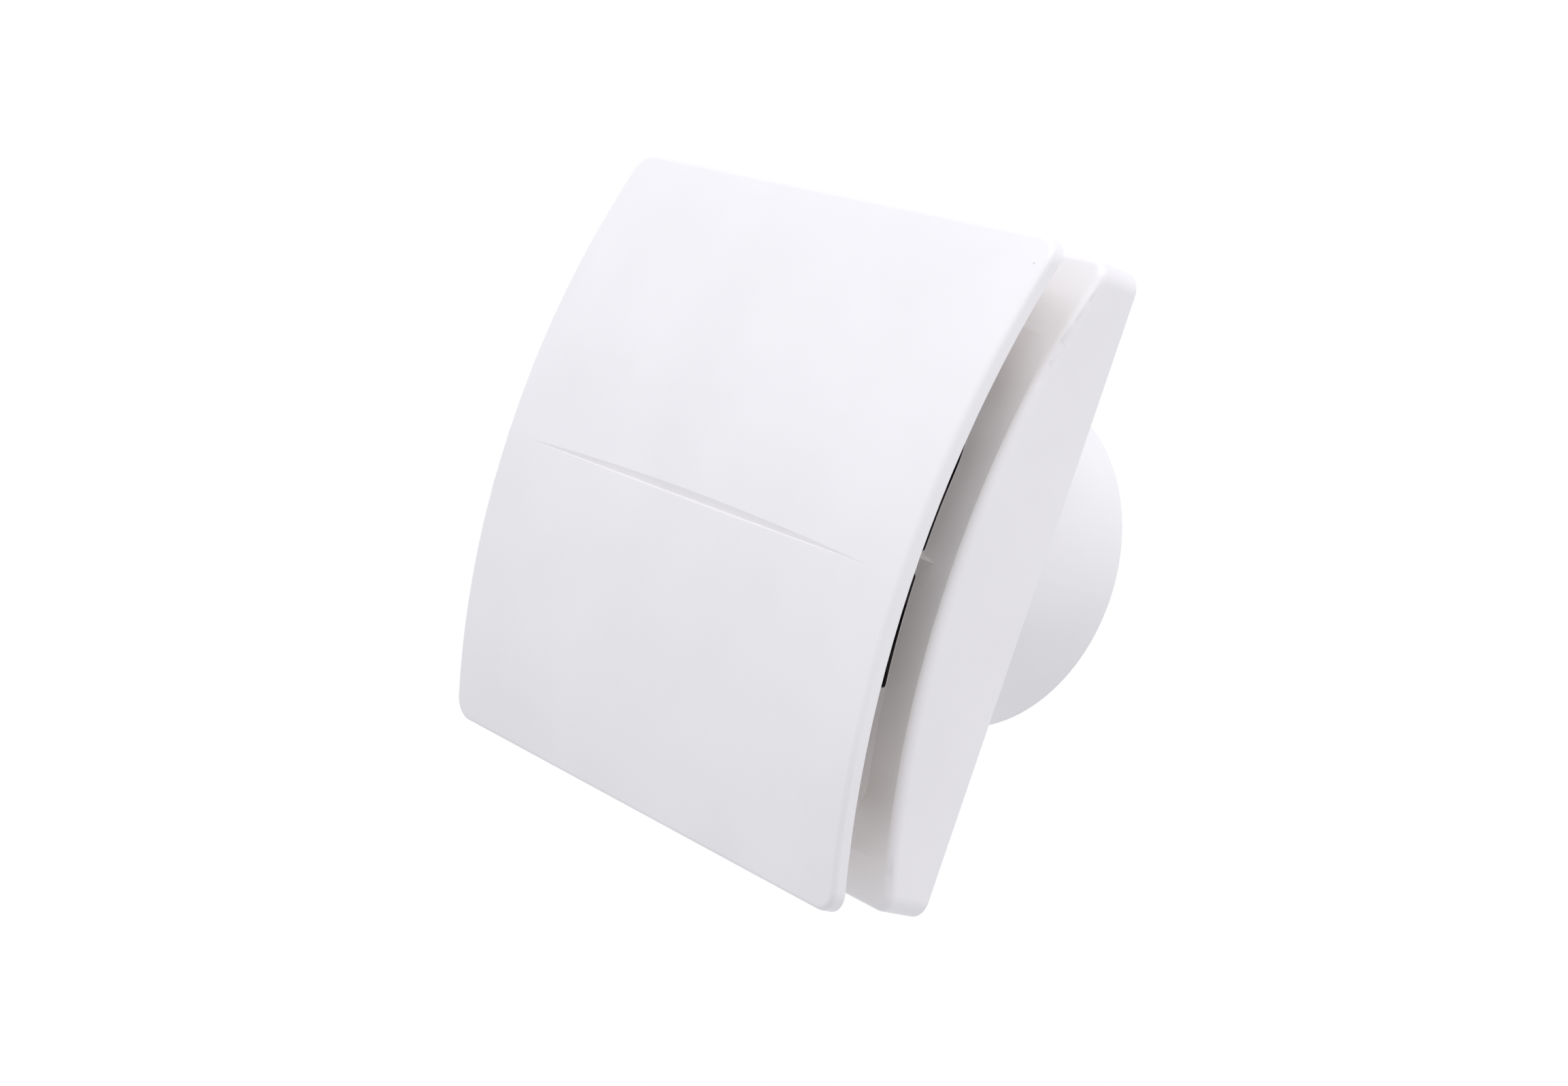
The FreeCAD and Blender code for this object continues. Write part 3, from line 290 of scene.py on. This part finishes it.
# Each material slot's maker and its settings
LOOKS = {
    "panel_plastic": (moulded_plastic, dict(colour=(0.938, 0.905, 0.868), rough=0.34, specks=True)),
    "frame_plastic": (moulded_plastic, dict(colour=(0.938, 0.90, 0.863), rough=0.38, specks=True)),
    # The housing carries painted shade on its room side round the inlet
    "housing_plastic": (moulded_plastic, dict(colour=(0.928, 0.895, 0.858), rough=0.40, painted_shade=True)),
    "carrier_plastic": (moulded_plastic, dict(colour=(0.040, 0.038, 0.037), rough=0.50,
                                              specular=SPECULAR_DULL)),
    "impeller_plastic": (moulded_plastic, dict(colour=(0.030, 0.027, 0.026), rough=0.50,
                                               specular=SPECULAR_DULL)),
    "cover_plastic": (moulded_plastic, dict(colour=(0.78, 0.765, 0.765), rough=0.45, grain_mm=0.5)),
    "terminal_plastic": (moulded_plastic, dict(colour=(0.70, 0.69, 0.65), rough=0.48, grain_mm=0.5)),
    "bobbin_plastic": (moulded_plastic, dict(colour=(0.030, 0.030, 0.033), rough=0.45, grain_mm=0.5)),
    "fibre_washer": (fibre, dict(colour=(0.30, 0.15, 0.07), rough=0.75)),
    "screw_steel": (turned_metal, dict(colour=(0.62, 0.62, 0.64), rough=0.32)),
    "screw_brass": (turned_metal, dict(colour=(0.72, 0.52, 0.22), rough=0.30)),
    "shaft_steel": (turned_metal, dict(colour=(0.58, 0.58, 0.60), rough=0.22)),
    "rotor_aluminium": (cast_metal, dict(colour=(0.50, 0.50, 0.52), rough=0.42)),
    "bracket_aluminium": (cast_metal, dict(colour=(0.62, 0.62, 0.64), rough=0.40)),
    "lamination_steel": (striped_metal, dict(colour=(0.26, 0.27, 0.29), rough=0.45, period_mm=0.5,
                                             ringed=False, depth=2.0e-5)),
    "copper_wire": (striped_metal, dict(colour=(0.48, 0.18, 0.07), rough=0.35, period_mm=0.35,
                                        ringed=True, depth=4.0e-5)),
    "sintered_bronze": (cast_metal, dict(colour=(0.42, 0.26, 0.10), rough=0.42, pit_mm=0.25)),
    "grommet_rubber": (rubber, dict(colour=(0.020, 0.020, 0.022), rough=0.70)),
}

looks = {slot: make(slot, **settings) for slot, (make, settings) in LOOKS.items()}
node_slots = {part["node"]: part["material_slot"] for part in frame["record"]["subparts"]}
for name, piece in frame["nodes"].items():
    piece.data.materials.clear()
    piece.data.materials.append(looks[node_slots[name]])


def white_glow(name):
    """A plain white surface, like an overexposed studio sweep."""
    material, nodes = new_material(name)
    glow = nodes.add("ShaderNodeEmission", {"Color": (1, 1, 1, 1), "Strength": 1.0})
    nodes.add("ShaderNodeOutputMaterial", {"Surface": glow.outputs["Emission"]})
    return material


def set_stage(piece, name):
    """Names a stage piece and makes it white for the camera only, with no part in the object's light."""
    piece.name = name
    piece.visible_diffuse = False
    piece.visible_glossy = False
    piece.visible_transmission = False
    piece.visible_shadow = False
    piece.data.materials.append(white_glow(name + "_white"))


floor_height = cad_box[0][2] - FLOOR_DROP
bpy.ops.mesh.primitive_circle_add(vertices=FLOOR_VERTICES, radius=FLOOR_RADIUS, fill_type="NGON",
                                  location=(0, 0, floor_height))
set_stage(bpy.context.object, "floor")
bpy.ops.mesh.primitive_uv_sphere_add(segments=BACKDROP_SEGMENTS, ring_count=BACKDROP_RINGS,
                                     radius=BACKDROP_RADIUS)
set_stage(bpy.context.object, "backdrop")

scene = bpy.context.scene
scene.view_settings.view_transform = "Standard"
scene.view_settings.look = "None"

world = bpy.data.worlds.new("studio")
world.use_nodes = True
scene.world = world
sky = Nodes(world.node_tree)
direction = sky.add("ShaderNodeTexCoord").outputs["Generated"]
strength = SKY_EVEN
for source, level in SKY_LOBES:
    facing = sky.vector_calc("DOT_PRODUCT", direction, source)["Value"]
    lobe = sky.band(facing, low=0.0, high=1.0, to_low=0.0, to_high=level)
    strength = sky.calc("ADD", strength, lobe)
background = sky.add("ShaderNodeBackground", {"Color": (*LIGHT_TINT, 1), "Strength": strength})
sky.add("ShaderNodeOutputWorld", {"Surface": background.outputs["Background"]})


def area_light(name, place, width, power):
    """A soft square lamp aimed at the origin, itself out of view."""
    lamp = bpy.data.lights.new(name, "AREA")
    lamp.shape = "SQUARE"
    lamp.size = width
    lamp.energy = power
    lamp.color = LIGHT_TINT
    holder = bpy.data.objects.new(name, lamp)
    scene.collection.objects.link(holder)
    holder.location = place
    holder.rotation_euler = (-Vector(place)).to_track_quat("-Z", "Y").to_euler()
    holder.visible_camera = False


for lamp_settings in LAMPS:
    area_light(*lamp_settings)

camera_data = bpy.data.cameras.new("camera")
camera_data.sensor_fit = "HORIZONTAL"
camera_data.sensor_width = SENSOR_WIDTH_MM
camera_data.lens = FOCAL_PX / IMAGE_WIDTH_PX * SENSOR_WIDTH_MM
camera = bpy.data.objects.new("camera", camera_data)
scene.collection.objects.link(camera)
camera.location = CAMERA_PLACE
upright = (CAMERA_AIM - CAMERA_PLACE).to_track_quat("-Z", "Y")
camera.rotation_euler = (upright @ Quaternion((0, 0, 1), CAMERA_ROLL)).to_euler()
scene.camera = camera
